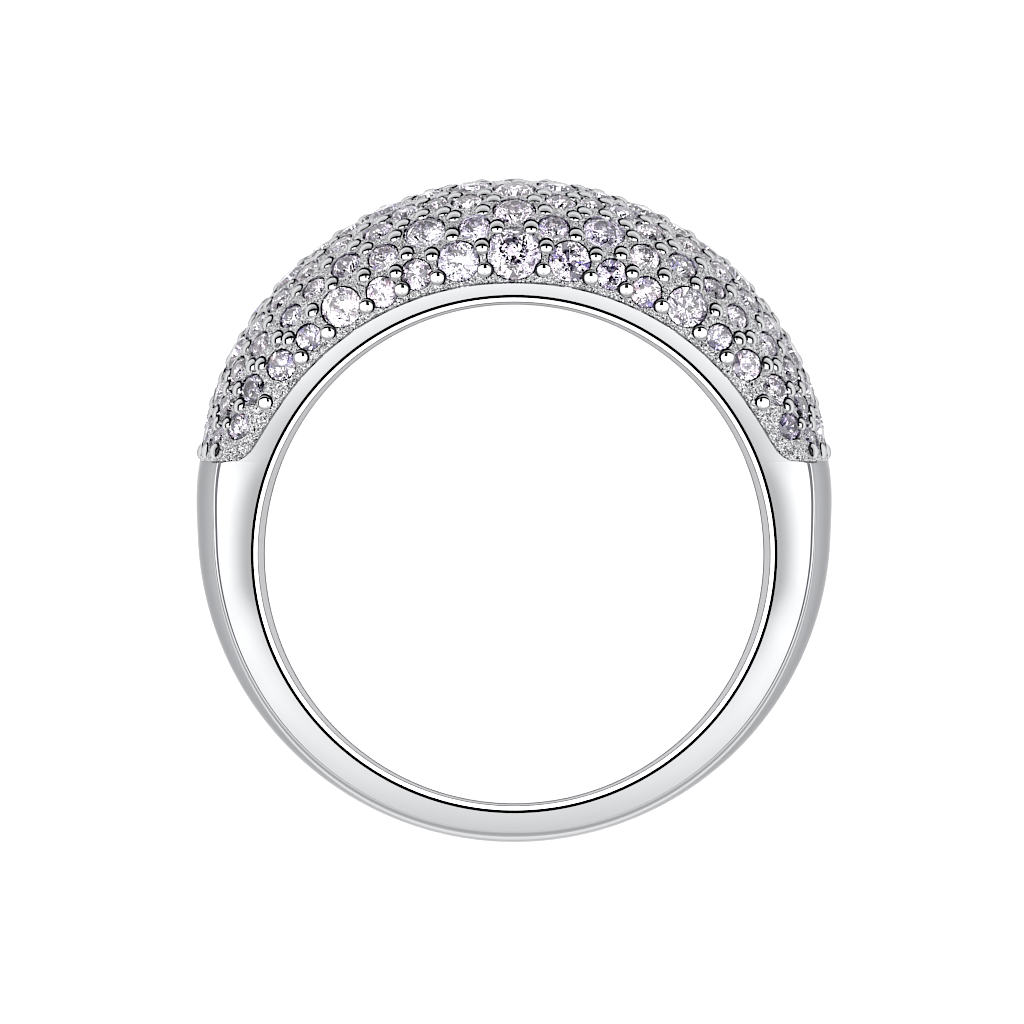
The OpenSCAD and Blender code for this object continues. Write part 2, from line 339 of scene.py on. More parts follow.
def whole(half, crest):
    """A closed section: hole wall, half, crest, mirrored half."""
    mirrored = [(x, y, -z) for x, y, z in reversed(half)]
    return half + [crest] + mirrored


def dome_section(t):
    return np.array(whole(dome_half(t), bed_leaning(t, 1)))


def shank_section(t):
    a = turned(t, shank_out(t))
    return np.array(whole(shank_half(t), on_ring(a, shank_out(a), 0, 0)))


print("points in a section:", len(dome_section(10)), len(shank_section(120)))

# %% [markdown]
# Where the stones end, the casting steps up in a small wall. A few sections within a little over
# half a degree, blended from the dome's section to the shank's, give it a soft foot and a soft lip.
# The sections of the dome lie closer together towards that wall, where the outline turns fastest.

# %% All sections round the ring
DOME_SECTIONS, WALL_SECTIONS, SHANK_SECTIONS = 120, 7, 130
CLOSER = 1.4
WALL_SPAN = 0.6

right_side = [dome_section(END_T * (1 - (1 - k / DOME_SECTIONS) ** CLOSER)) for k in range(DOME_SECTIONS)]
for k in range(WALL_SECTIONS):
    u = k / (WALL_SECTIONS - 1)
    share = eased(u)
    t = END_T + WALL_SPAN * u
    right_side.append(dome_section(END_T) * (1 - share) + shank_section(t) * share)
wall_end = END_T + WALL_SPAN
for k in range(1, SHANK_SECTIONS + 1):
    right_side.append(shank_section(wall_end + (180 - wall_end) * k / SHANK_SECTIONS))
left_side = [s * (-1, 1, 1) for s in reversed(right_side[1:-1])]
sections = np.array(right_side + left_side)
print("sections:", len(sections))


# %% Loft them into a closed mesh
def loft(name, rings):
    """A closed tube through closed sections, its corners in ring millimetres."""
    n, m = rings.shape[:2]
    index = np.arange(n * m).reshape(n, m)
    nxt = np.roll(index, -1, axis=0)
    faces = np.stack([index, nxt, np.roll(nxt, -1, axis=1), np.roll(index, -1, axis=1)], axis=-1)
    mesh = bpy.data.meshes.new(name)
    mesh.from_pydata(to_rest(rings.reshape(-1, 3)).tolist(), [], faces.reshape(-1, 4).tolist())
    mesh.update()
    return mesh


def add_piece(name, mesh):
    piece = bpy.data.objects.new(name, mesh)
    bpy.context.scene.collection.objects.link(piece)
    return piece


skin = add_piece("polished_casting", loft("polished_casting", sections))
print("skin faces:", len(skin.data.polygons))

# %% [markdown]
# ## Reading the stones from the frame
#
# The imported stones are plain: a table, eight upper and eight lower facets. Each one still tells
# exactly where it sits. Its corners fall in three groups by distance from their mean: table,
# point, girdle. The point and the table give the axis, the girdle gives the diameter.

# %% Stones: middle of the girdle, axis and diameter
TABLE_CORNERS = 8


def packed_stones(node):
    bm = bmesh.new()
    bm.from_mesh(frame["nodes"][node].data)
    bmesh.ops.remove_doubles(bm, verts=bm.verts, dist=1e-7)
    left, stones = set(bm.verts), []
    while left:
        island, edge = set(), [next(iter(left))]
        while edge:
            v = edge.pop()
            if v in island:
                continue
            island.add(v)
            edge += [e.other_vert(v) for e in v.link_edges]
        left -= island
        points = np.array([REST_TO_RING @ v.co for v in island])
        order = np.argsort(np.linalg.norm(points - points.mean(0), axis=1))
        table, point, girdle = order[:TABLE_CORNERS], order[TABLE_CORNERS], order[TABLE_CORNERS + 1:]
        middle = points[girdle].mean(0)
        diameter = 2 * np.linalg.norm(points[girdle] - middle, axis=1).mean()
        stones.append((middle, unit(points[table].mean(0) - points[point]), diameter))
    bm.free()
    return sorted(stones, key=lambda s: tuple(np.round(s[0], 3)))


STONE_NODES = ("pave_stones_front", "pave_stones_back")
stones = {node: packed_stones(node) for node in STONE_NODES}
for node in STONE_NODES:
    sizes = sorted({round(float(s[2]), 2) for s in stones[node]})
    print(node, len(stones[node]), "stones of", sizes, "mm")

# %% [markdown]
# ## Cutting the seats
#
# A setter drills a hole for each stone and cuts a cone for its underside. The same is done here
# with one boolean: all cutters are joined into one mesh and taken from the skin at once.


# %% Seat cutters
SEAT_GAP = 0.02
SEAT_TOP, SEAT_RIM, SEAT_LEDGE, SEAT_BELOW = 0.35, 0.1, -0.03, 0.05
SEAT_SIDES = 40
POINT_SHARE = 0.43
FLARE = 0.02


def spun(profile, sides, middle, axis, offset):
    """Points and faces of a closed body turned from (height, radius) pairs; its ends are points."""
    u = unit(np.cross((1, 0, 0), axis))
    v = np.cross(axis, u)
    points, faces = [middle + axis * profile[0][0]], []
    for height, radius in profile[1:-1]:
        for k in range(sides):
            f = 360 * k / sides
            points.append(middle + axis * height + (u * cos(f) + v * sin(f)) * radius)
    points.append(middle + axis * profile[-1][0])
    rings = len(profile) - 2
    last = offset + len(points) - 1
    for k in range(sides):
        nxt = (k + 1) % sides
        faces.append((offset, offset + 1 + k, offset + 1 + nxt))
        for j in range(rings - 1):
            a, b = offset + 1 + j * sides, offset + 1 + (j + 1) * sides
            faces.append((b + k, b + nxt, a + nxt, a + k))
        b = offset + 1 + (rings - 1) * sides
        faces.append((b + nxt, b + k, last))
    return points, faces


def mesh_of(name, bodies):
    """Joins many bodies, given as functions of their first corner's number, into one mesh."""
    points, faces = [], []
    for body in bodies:
        p, f = body(len(points))
        points += p
        faces += f
    mesh = bpy.data.meshes.new(name)
    mesh.from_pydata(to_rest(points).tolist(), [], faces)
    mesh.update()
    return mesh


def seat(middle, axis, d):
    """A cutter for one stone: open above the rim, a ledge under the girdle, a cone below it."""
    r = d / 2 + SEAT_GAP
    profile = [
        (SEAT_TOP, 0), (SEAT_TOP, r + 2 * FLARE), (SEAT_RIM, r + FLARE), (SEAT_LEDGE, r),
        (-POINT_SHARE * d - SEAT_BELOW, 0),
    ]
    return lambda first: spun(profile, SEAT_SIDES, middle, axis, first)


every_stone = stones[STONE_NODES[0]] + stones[STONE_NODES[1]]
cutter = add_piece("seat_cutters", mesh_of("seat_cutters", [seat(*s) for s in every_stone]))
print("seats:", len(every_stone))


# %% How a tool is cut from a piece
def cut_away(piece, tool):
    """Takes the tool's volume from the piece and deletes the tool."""
    cut = piece.modifiers.new("seats", "BOOLEAN")
    cut.operation = "DIFFERENCE"
    cut.solver = "MANIFOLD"
    cut.object = tool
    bpy.context.view_layer.update()
    result = bpy.data.meshes.new_from_object(
        piece.evaluated_get(bpy.context.evaluated_depsgraph_get()))
    piece.modifiers.clear()
    piece.data = result
    bpy.data.objects.remove(tool)


# %% [markdown]
# One casting shows many finishes, and each is the same silver with its own roughness; many also get
# their own tone as painted light. A polished face mirrors the room and a satin band blurs it. The lip
# and satin band get a darker tone, and the lip's edge along the shank a darker one still, as painted
# shade; the fine line, the groove, the step beside the rail, the shank's crease and the wall where the
# bed ends are painted dark as shade, and the bevel near white as a painted highlight. The discs under
# the grains are painted near black as shade. The ground between the stones is frosted: small irregular
# tool marks as bumps, with painted highlights on their ridges and painted shade in their hollows.

# %% The finishes of the silver
EDGE_TINT = (0.45, 0.45, 0.46)
BED_TINT = (0.75, 0.75, 0.76)
MARK_SIZE, MARK_DEPTH = 0.055 * MM, 0.04 * MM
# Tone of the marks by their height: painted shade in the hollows, painted highlight on the ridges.
MARK_PAINTED_LIGHT = ((0.44, (0.03, 0.03, 0.033)), (0.56, (0.9, 0.9, 0.92)))


def silver(name, color=(0.5, 0.505, 0.515), roughness=0.05, edge_tint=EDGE_TINT):
    material = bpy.data.materials.new(name)
    material.use_nodes = True
    shader = material.node_tree.nodes["Principled BSDF"]
    shader.inputs["Metallic"].default_value = 1
    shader.inputs["Base Color"].default_value = (*color, 1)
    shader.inputs["Roughness"].default_value = roughness
    shader.inputs["Specular Tint"].default_value = (*edge_tint, 1)
    return material


def add_node(nodes_of, kind, **settings):
    """A new node in a tree, with its settings given by name."""
    node = nodes_of.nodes.new(kind)
    for name, value in settings.items():
        setattr(node, name, value)
    return node


def fill_ramp(ramp, stops):
    """Fills a colour ramp from (position, colour) pairs in rising order."""
    ramp.elements.remove(ramp.elements[-1])
    for k, (position, color) in enumerate(stops):
        stop = ramp.elements[0] if k == 0 else ramp.elements.new(position)
        stop.position = position
        stop.color = (*color, 1)


def scratched_with_painted_shade(material):
    """Covers a material with small irregular tool marks as bumps, with painted shade in their hollows and
    painted highlight on their ridges.
    """
    nodes_of = material.node_tree
    shader = nodes_of.nodes["Principled BSDF"]
    place = add_node(nodes_of, "ShaderNodeTexCoord")
    noise = add_node(nodes_of, "ShaderNodeTexNoise")
    noise.inputs["Scale"].default_value = 1 / MARK_SIZE
    noise.inputs["Detail"].default_value = 3
    noise.inputs["Distortion"].default_value = 1.5
    shade = add_node(nodes_of, "ShaderNodeValToRGB")
    fill_ramp(shade.color_ramp, MARK_PAINTED_LIGHT)
    bump = add_node(nodes_of, "ShaderNodeBump")
    bump.inputs["Distance"].default_value = MARK_DEPTH
    nodes_of.links.new(place.outputs["Object"], noise.inputs["Vector"])
    nodes_of.links.new(noise.outputs["Fac"], shade.inputs["Fac"])
    nodes_of.links.new(shade.outputs["Color"], shader.inputs["Base Color"])
    nodes_of.links.new(noise.outputs["Fac"], bump.inputs["Height"])
    nodes_of.links.new(bump.outputs["Normal"], shader.inputs["Normal"])
    return material


metals = {
    "polished": silver("polished_silver_skin"),
    # Frosted bed: real bumps and roughness, with painted shade and highlight in its marks.
    "bed_ground": scratched_with_painted_shade(silver("frosted_bed_painted_shade", roughness=0.3, edge_tint=BED_TINT)),
    "bright_cut": silver("bright_cut_seats", (0.5, 0.5, 0.52), 0.12),
    # Near-black groove: painted shade.
    "groove_painted_shade": silver("silver_groove_painted_shade", (0.004, 0.004, 0.005), 0.5),
    # Near-white bevel: a painted highlight.
    "bevel": silver("silver_bevel_painted_highlight", (0.97, 0.97, 0.98), 0.5),
    # Dark step, crease and wall: painted shade.
    "step_crease_painted_shade": silver("shaded_step", (0.12, 0.12, 0.13), 0.3),
    # Satin lip and band: real roughness, with a darker tone as painted shade.
    "lip": silver("satin_lip_painted_shade", (0.37, 0.37, 0.38), 0.5),
    # Darker still at the lip's edge along the shank: painted shade.
    "lip_edge_painted_shade": silver("shaded_lip_edge", (0.13, 0.13, 0.14), 0.5),
    # Near-black discs under the grains: painted shade.
    "grain_shade_disc": silver("silver_grain_painted_shade", (0.03, 0.03, 0.035), 0.4),
    # Dark fine line on a flat strip: painted shade.
    "line_painted_shade": silver("shaded_line", (0.17, 0.17, 0.18), 0.5),
}
METAL_SLOTS = tuple(metals)
for name in METAL_SLOTS:
    skin.data.materials.append(metals[name])
    cutter.data.materials.append(metals[name])
print("finishes:", ", ".join(METAL_SLOTS))

# %% Which face gets which finish
# How many strips at the lip's edge along the shank get painted shade.
LIP_EDGE = 2
# How many strips before the bed, and how many sections at the bed's end, get the step's painted shade.
STEP_DARK, WALL_DARK = 1, 2
bed_first = EDGE_PTS + SIDE_PTS + STEP_PTS - 1
crease = EDGE_PTS + SIDE_PTS - 2
ring_len = sections.shape[1]
dome_rings = set(range(DOME_SECTIONS)) | set(range(len(sections) - DOME_SECTIONS, len(sections)))
wall_rings = {DOME_SECTIONS + k for k in range(WALL_DARK)}
wall_rings |= {len(sections) - 1 - k for k in wall_rings}


def finish_of(ring, from_hole):
    """The finish of a face, by its section and its strip counted from the wall of the hole."""
    on_dome = ring in dome_rings
    if from_hole < 0:
        return "polished"
    # Along the shank the lip's edge is painted darker as shade.
    if from_hole < LIP_EDGE and not on_dome:
        return "lip_edge_painted_shade"
    # Lip and satin band: their darker tone is painted shade.
    if from_hole < LINE:
        return "lip"
    # The fine line's strip is painted dark as shade.
    if from_hole == LINE:
        return "line_painted_shade"
    # The bevel's strips get its painted highlight.
    if from_hole <= BEVEL_END:
        return "bevel"
    # The groove's strips get its painted shade.
    if from_hole <= GROOVE_END:
        return "groove_painted_shade"
    # The shank's crease, the step beside the rail and the wall where the bed ends are painted dark as shade.
    if from_hole == crease and not on_dome:
        return "step_crease_painted_shade"
    if on_dome and bed_first - STEP_DARK <= from_hole < bed_first:
        return "step_crease_painted_shade"
    if ring in wall_rings and from_hole >= bed_first:
        return "step_crease_painted_shade"
    if on_dome and from_hole >= bed_first:
        return "bed_ground"
    return "polished"


for i, face in enumerate(skin.data.polygons):
    ring, along = divmod(i, ring_len)
    from_hole = min(along, ring_len - 2 - along)
    face.material_index = METAL_SLOTS.index(finish_of(ring, from_hole))
for face in cutter.data.polygons:
    face.material_index = METAL_SLOTS.index("bright_cut")
print("strips of faces from the hole to the bed:", bed_first)

# %% Cut the seats from the skin
cut_away(skin, cutter)
print("skin faces after cutting:", len(skin.data.polygons))

# %% [markdown]
# Curved metal is shaded smooth, but a cut edge must stay an edge. Marking every edge that bends
# more than a set angle as sharp gives both.

# %% Smooth metal, sharp cuts
SHARP_ANGLE = 28
skin.data.shade_smooth()
skin.data.set_sharp_from_angle(angle=math.radians(SHARP_ANGLE))
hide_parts("band")
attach(skin, "root")

# %% [markdown]
# ## The brilliant cut
#
# A round brilliant has a flat table, eight stars, eight kites and sixteen upper girdle facets
# on top, and sixteen long facets and eight kites below. We make one stone of diameter 1 and
# copy it to every seat, each turned by its own seeded angle, because a setter drops them in as
# they come.

# %% One brilliant of diameter 1
TABLE_R, TOP_H, GIRDLE_H = 0.285, 0.15, 0.02
STAR_R, LOWER_R = 0.4, 0.115


def circle(r, h, n, turn):
    """n corners of a circle at height h, the first one turned by a share of a step."""
    return [(r * cos(360 * (k + turn) / n), r * sin(360 * (k + turn) / n), h) for k in range(n)]


def brilliant():
    """Corners and faces of the stone, girdle at height 0, table towards +z."""
    kite_slope = TOP_H / (0.5 - TABLE_R)
    star_h = kite_slope * (0.5 - STAR_R * cos(22.5))
    low_slope = (POINT_SHARE - GIRDLE_H) / 0.5
    lower_h = -POINT_SHARE + low_slope * LOWER_R * cos(22.5)
    points = (circle(TABLE_R, TOP_H, 8, 0) + circle(STAR_R, star_h, 8, 0.5)
              + circle(0.5, 0, 16, 0) + circle(0.5, -GIRDLE_H, 16, 0)
              + circle(LOWER_R, lower_h, 8, 0.5) + [(0, 0, -POINT_SHARE)])
    table, star, upper, lower, deep, tip = 0, 8, 16, 32, 48, 56
    faces = [tuple(range(8))]
    for k in range(8):
        n = (k + 1) % 8
        before = (k - 1) % 8
        g, half, g_next = 2 * k, 2 * k + 1, (2 * k + 2) % 16
        faces += [
            (table + n, table + k, star + k),
            (table + k, star + before, upper + g, star + k),
            (star + k, upper + g, upper + half),
            (star + k, upper + half, upper + g_next),
            (upper + g, lower + g, lower + half, upper + half),
            (upper + half, lower + half, lower + g_next, upper + g_next),
            (deep + k, lower + half, lower + g),
            (deep + k, lower + g_next, lower + half),
            (deep + k, lower + g, deep + before, tip),
        ]
    return np.array(points), faces


stone_points, stone_faces = brilliant()
LOWER = [int(stone_points[list(f), 2].max() <= -GIRDLE_H + 1e-9) for f in stone_faces]
print("facets of a stone:", len(stone_faces), "of which below the girdle:", sum(LOWER))

# %% How a stone is set
rng = np.random.default_rng(7)
TIP_TILT = 2.5


def set_stone(middle, axis, d):
    """A brilliant in its seat, turned by a random angle and tilted a little."""
    spin = rng.uniform(0, 360)
    axis = unit(axis + np.radians(TIP_TILT) * rng.normal(0, 0.5, 3))
    u = unit(np.cross((1, 0, 0), axis))
    v = np.cross(axis, u)
    u, v = u * cos(spin) + v * sin(spin), v * cos(spin) - u * sin(spin)
    points = middle + d * (stone_points @ np.array([u, v, axis]))
    return lambda first: (list(points), [tuple(first + i for i in f) for f in stone_faces])


# %% [markdown]
# The fire of a brilliant is light that enters the crown, is thrown back by the lower facets and
# comes out again. The crown is clear refracting glass. The lower facets get a mirror finish in pale
# tints, one tint a facet, so that every ray comes back out, as it does in a well cut stone; a few
# facets get a deep tint instead, painted shade that darkens them. In a real stone each facet is seen
# again and again inside the others, as a pattern of small light and dark shards. Voronoi cells paint
# that pattern as painted reflections: each cell turns the mirror a little and gets its own painted
# shade, and a thin painted dark outline parts it from the next.

# %% Crown and pavilion of the stones
TINTS = (
    (0.98, 0.98, 0.99), (0.95, 0.94, 0.99), (0.93, 0.91, 0.98), (0.98, 0.94, 0.96), (0.98, 0.97, 0.98),
    (0.86, 0.83, 0.93),
)
# Deep tints paint a few facets dark as shade.
PAINTED_DARK_FACET_TINTS = ((0.2, 0.18, 0.4), (0.4, 0.3, 0.33), (0.12, 0.12, 0.15), (0.3, 0.3, 0.34))
DEEP_SHARE, OWN_TINT_UNTIL = 0.08, 0.6
DIMMEST = 0.86
SHARD_SIZE = 0.2 * MM
SHARD_TURN = 0.15
# Shades of the shards: painted light and shade of the reflections inside a stone.
SHARD_PAINTED_LIGHT = (
    (0, (0.26, 0.24, 0.3)), (0.06, (0.75, 0.71, 0.8)), (0.16, (0.95, 0.88, 0.91)),
    (0.28, (0.91, 0.92, 0.98)), (0.42, (1, 1, 1)),
)
# A painted dark outline between the shards.
SHARD_PAINTED_OUTLINE = ((0, (0.3, 0.3, 0.3)), (0.04, (1, 1, 1)))

crown_glass = bpy.data.materials.new("crown_glass")
crown_glass.use_nodes = True
shader = crown_glass.node_tree.nodes["Principled BSDF"]
shader.inputs["Base Color"].default_value = (0.98, 0.96, 0.99, 1)
shader.inputs["Roughness"].default_value = 0
shader.inputs["IOR"].default_value = 2.0
shader.inputs["Transmission Weight"].default_value = 1

pavilion_mirror = bpy.data.materials.new("pavilion_mirror")
pavilion_mirror.use_nodes = True
shader = pavilion_mirror.node_tree.nodes["Principled BSDF"]
shader.inputs["Metallic"].default_value = 1
shader.inputs["Roughness"].default_value = 0.02
nodes_of = pavilion_mirror.node_tree
tint = add_node(nodes_of, "ShaderNodeAttribute", attribute_name="facet_tint_and_painted_shade")
place = add_node(nodes_of, "ShaderNodeTexCoord")
shards = add_node(nodes_of, "ShaderNodeTexVoronoi")
shards.inputs["Scale"].default_value = 1 / SHARD_SIZE
shade = add_node(nodes_of, "ShaderNodeValToRGB")
shade.color_ramp.interpolation = "CONSTANT"
fill_ramp(shade.color_ramp, SHARD_PAINTED_LIGHT)
to_outline = add_node(nodes_of, "ShaderNodeTexVoronoi", feature="DISTANCE_TO_EDGE")
to_outline.inputs["Scale"].default_value = 1 / SHARD_SIZE
outline = add_node(nodes_of, "ShaderNodeValToRGB")
fill_ramp(outline.color_ramp, SHARD_PAINTED_OUTLINE)
multiply = add_node(nodes_of, "ShaderNodeMix", data_type="RGBA", blend_type="MULTIPLY")
multiply.inputs["Factor"].default_value = 1
outlined = add_node(nodes_of, "ShaderNodeMix", data_type="RGBA", blend_type="MULTIPLY")
outlined.inputs["Factor"].default_value = 1
split = add_node(nodes_of, "ShaderNodeSeparateColor")
turn = add_node(nodes_of, "ShaderNodeVectorMath", operation="MULTIPLY_ADD")
turn.inputs[1].default_value = (SHARD_TURN,) * 3
facet = add_node(nodes_of, "ShaderNodeNewGeometry")
centred = add_node(nodes_of, "ShaderNodeVectorMath", operation="SUBTRACT")
centred.inputs[1].default_value = (SHARD_TURN / 2,) * 3
straight = add_node(nodes_of, "ShaderNodeVectorMath", operation="NORMALIZE")
for start, end in (
    (place.outputs["Object"], shards.inputs["Vector"]),
    (shards.outputs["Color"], split.inputs["Color"]),
    (split.outputs["Red"], shade.inputs["Fac"]),
    (tint.outputs["Color"], multiply.inputs["A"]),
    (shade.outputs["Color"], multiply.inputs["B"]),
    (place.outputs["Object"], to_outline.inputs["Vector"]),
    (to_outline.outputs["Distance"], outline.inputs["Fac"]),
    (multiply.outputs["Result"], outlined.inputs["A"]),
    (outline.outputs["Color"], outlined.inputs["B"]),
    (outlined.outputs["Result"], shader.inputs["Base Color"]),
    (shards.outputs["Color"], turn.inputs[0]),
    (facet.outputs["Normal"], turn.inputs[2]),
    (turn.outputs["Vector"], centred.inputs[0]),
    (centred.outputs["Vector"], straight.inputs[0]),
    (straight.outputs["Vector"], shader.inputs["Normal"]),
):
    nodes_of.links.new(start, end)


# %% Tints and painted shade of the facets, and the stones themselves
def tint_and_shade_facets(mesh):
    """Gives each facet a pale tint of its own, and a few of them a deep tint that paints them dark as shade.
    """
    colors = mesh.color_attributes.new("facet_tint_and_painted_shade", "FLOAT_COLOR", "CORNER")
    per_stone = len(stone_faces)
    values = np.ones((len(mesh.loops), 4), dtype=np.float32)
    for i, face in enumerate(mesh.polygons):
        if i % per_stone == 0:
            own = rng.integers(len(TINTS))
        pick = rng.random()
        if pick < DEEP_SHARE:
            color = PAINTED_DARK_FACET_TINTS[rng.integers(len(PAINTED_DARK_FACET_TINTS))]
        else:
            which = own if pick < OWN_TINT_UNTIL else rng.integers(len(TINTS))
            color = np.array(TINTS[which]) * rng.uniform(DIMMEST, 1)
        values[face.loop_start:face.loop_start + face.loop_total, :3] = color
    colors.data.foreach_set("color", values.ravel())


for node in STONE_NODES:
    mesh = mesh_of(node + "_cut", [set_stone(*s) for s in stones[node]])
    mesh.materials.append(crown_glass)
    mesh.materials.append(pavilion_mirror)
    tint_and_shade_facets(mesh)
    for i, face in enumerate(mesh.polygons):
        face.material_index = LOWER[i % len(stone_faces)]
    piece = add_piece("brilliants_" + node.rsplit("_", 1)[1], mesh)
    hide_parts(node)
    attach(piece, "root")
    print(piece.name, len(mesh.polygons), "facets")

# %% [markdown]
# ## The grains
#
# Between stones the setter raises small grains of metal with a graver, pushes them over the
# girdles and rounds them with a cupped tool. A grain belongs in the gap between three stones, so
# we unroll the dome to a flat map, join neighbouring stones with triangles (Delaunay), and
# put a grain where a triangle is equally far from its three stones. Along the rails, where there
# is no third stone, a lower grain stands between each pair, turned a little towards the side.
# A last row of grains stands where the bed ends.


# %% Map the dome flat
MAP_R = 11.5
ARC_STEPS = 40
HALVINGS = 12


def arc_to(a, share):
    """Length over the bed from the rail to a share, in millimetres."""
    steps = [np.array(bed(a, share * k / ARC_STEPS)) for k in range(ARC_STEPS + 1)]
    return sum(np.linalg.norm(q - p) for p, q in zip(steps, steps[1:]))


def to_map(p):
    """Angle and distance over the dome from the crest line, both as lengths."""
    a = math.degrees(math.atan2(p[0], p[1]))
    r = math.hypot(p[0], p[1])
    start = bed_start(a)
    lift = (r - start) / (off_centre(dome_r, dome_rise, a) - start)
    share = math.degrees(math.asin(max(0, min(1, lift)))) / 90
    return math.radians(a) * MAP_R, math.copysign(arc_to(a, 1) - arc_to(a, share), p[2])


def from_map(u, v):
    """Angle and share on the bed of a place on the map; shares over 1 are on the far flank."""
    a = math.degrees(u / MAP_R)
    want, low, high = arc_to(a, 1) - abs(v), 0, 1
    if want <= 0:
        return None
    for _ in range(HALVINGS):
        mid = (low + high) / 2
        low, high = (mid, high) if arc_to(a, mid) < want else (low, mid)
    share = (low + high) / 2
    return a, share if v >= 0 else 2 - share


CROWN_MIDDLE = 0.1
spots = [to_map(middle + axis * CROWN_MIDDLE) for middle, axis, d in every_stone]
print("map spans", round(max(s[0] for s in spots) - min(s[0] for s in spots), 1), "mm along")

# %% Grains between three stones
GRAIN_R = 0.3
GRAIN_LEAST = 0.16
GRAIN_BITE = 0.08
GRAIN_REACH = 0.75
GRAIN_APART = 0.46
NEWTON_STEPS, LONGEST_MOVE = 30, 0.2


def between(circles):
    """The place and clearance equally far from three circles, found by a few Newton steps."""
    x = np.mean([c[0] for c in circles], axis=0)
    for _ in range(NEWTON_STEPS):
        away = [x - c[0] for c in circles]
        gaps = [np.linalg.norm(w) - c[1] for w, c in zip(away, circles)]
        dirs = [w / np.linalg.norm(w) for w in away]
        m = np.array([dirs[0] - dirs[1], dirs[0] - dirs[2]])
        move = np.linalg.lstsq(m, -np.array([gaps[0] - gaps[1], gaps[0] - gaps[2]]), rcond=None)[0]
        x = x + np.clip(move, -LONGEST_MOVE, LONGEST_MOVE)
    return x, min(gaps)


_, _, triangles, came_from, _, _ = delaunay_2d_cdt([Vector(s) for s in spots], [], [], 0, 1e-6)
grains = []
for triangle in triangles:
    ids = [came_from[i][0] for i in triangle]
    place, room = between([(np.array(spots[i]), every_stone[i][2] / 2) for i in ids])
    if room > GRAIN_REACH or room + GRAIN_BITE < GRAIN_LEAST:
        continue
    on_bed = from_map(*place)
    if on_bed:
        grains.append((*on_bed, min(GRAIN_R, room + GRAIN_BITE)))
apart = []
for g in sorted(grains, key=lambda g: -g[2]):
    if all(np.linalg.norm(np.subtract(bed(*g[:2]), bed(*h[:2]))) > GRAIN_APART for h in apart):
        apart.append(g)
grains = apart
print("grains between three stones:", len(grains))

# %% Grains along the rails
FIRST_ROW_EDGE = 0.5
RAIL_AWAY = 0.45
RAIL_GRAIN_R = 0.27
PLACE_HALVINGS = 30


def to_rail(spot, d):
    """How far a stone's edge is from its rail, measured over the bed."""
    return arc_to(math.degrees(spot[0] / MAP_R), 1) - abs(spot[1]) - d / 2


def against_pair(i, j):
    """The place between stones i and j, equally far from both and RAIL_AWAY from the rail."""
    (p, rp), (q, rq) = ((np.array(spots[n]), every_stone[n][2] / 2) for n in (i, j))
    low, high = p[0], q[0]
    for _ in range(PLACE_HALVINGS):
        u = (low + high) / 2
        place = np.array((u, math.copysign(arc_to(math.degrees(u / MAP_R), 1) - RAIL_AWAY, p[1])))
        nearer_first = np.linalg.norm(place - p) - rp < np.linalg.norm(place - q) - rq
        low, high = (u, high) if nearer_first else (low, u)
    return place


rail_grains = []
for flank in (1, -1):
    row = [i for i, s in enumerate(spots)
           if s[1] * flank > 0 and to_rail(s, every_stone[i][2]) < FIRST_ROW_EDGE]
    row.sort(key=lambda i: spots[i][0])
    for i, j in zip(row, row[1:]):
        on_bed = from_map(*against_pair(i, j))
        if on_bed:
            rail_grains.append((*on_bed, RAIL_GRAIN_R))
print("grains along the rails:", len(rail_grains))

# %% Grains at the ends of the bed
END_SHARES = (0.39, 0.64, 0.88)
END_ABOVE = 0.34
ANGLE_HALVINGS = 20


def at_height(y, share):
    """The angle at which the bed is y above the finger's axis."""
    low, high = 0, 90
    for _ in range(ANGLE_HALVINGS):
        a = (low + high) / 2
        low, high = (a, high) if bed(a, share)[1] > y else (low, a)
    return a


for share in END_SHARES:
    a = at_height(BED_END_H + END_ABOVE, share)
    rail_grains += [(way * a, side, RAIL_GRAIN_R) for way in (1, -1) for side in (share, 2 - share)]
print("with those at the ends of the bed:", len(rail_grains))

# %% Round grains on the bed
BALL_SINK, BALL_H = 0.1, 0.2
BALL_SIDES = 16
LOW_SINK, LOW_H, LOW_LIFT = 0, 0.09, 0.5


def grain(a, share, r, sink, height, lift=0):
    """A ball, or a low dome, that is sunk a little into the bed; lift turns it towards the side."""
    normal = unit(bed_normal(a, share) + (0, 0, math.copysign(lift, 1 - share)))
    middle = np.array(bed(a, share)) - normal * sink
    profile = [(height * cos(f), r * sin(f)) for f in np.linspace(0, 180, BALL_SIDES + 1)]
    return lambda first: spun(profile, BALL_SIDES, middle, normal, first)


grain_mesh = mesh_of("grains", [grain(*g, BALL_SINK, BALL_H) for g in grains]
                     + [grain(*g, LOW_SINK, LOW_H, LOW_LIFT) for g in rail_grains])
grain_mesh.materials.append(metals["polished"])
grain_mesh.shade_smooth()
grain_piece = add_piece("setting_grains", grain_mesh)
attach(grain_piece, "root")
print("grain faces:", len(grain_mesh.polygons))

# %% [markdown]
# A grain is raised out of the metal with a graver. Under each grain lies a near-black low disc,
# painted shade, moved a little towards the middle of the crest or along the rail, so that a dark
# crescent shows beside the bright ball.

# %% Painted shade beside the grains
SHADE_DISC_R = 0.28
SHADE_DISC_H = 0.02
SHADE_DISC_MOVE = 0.06
SHADE_DISC_SIDES, SHADE_DISC_SHOULDER_H, SHADE_DISC_SHOULDER_R = 20, 0.8, 0.9


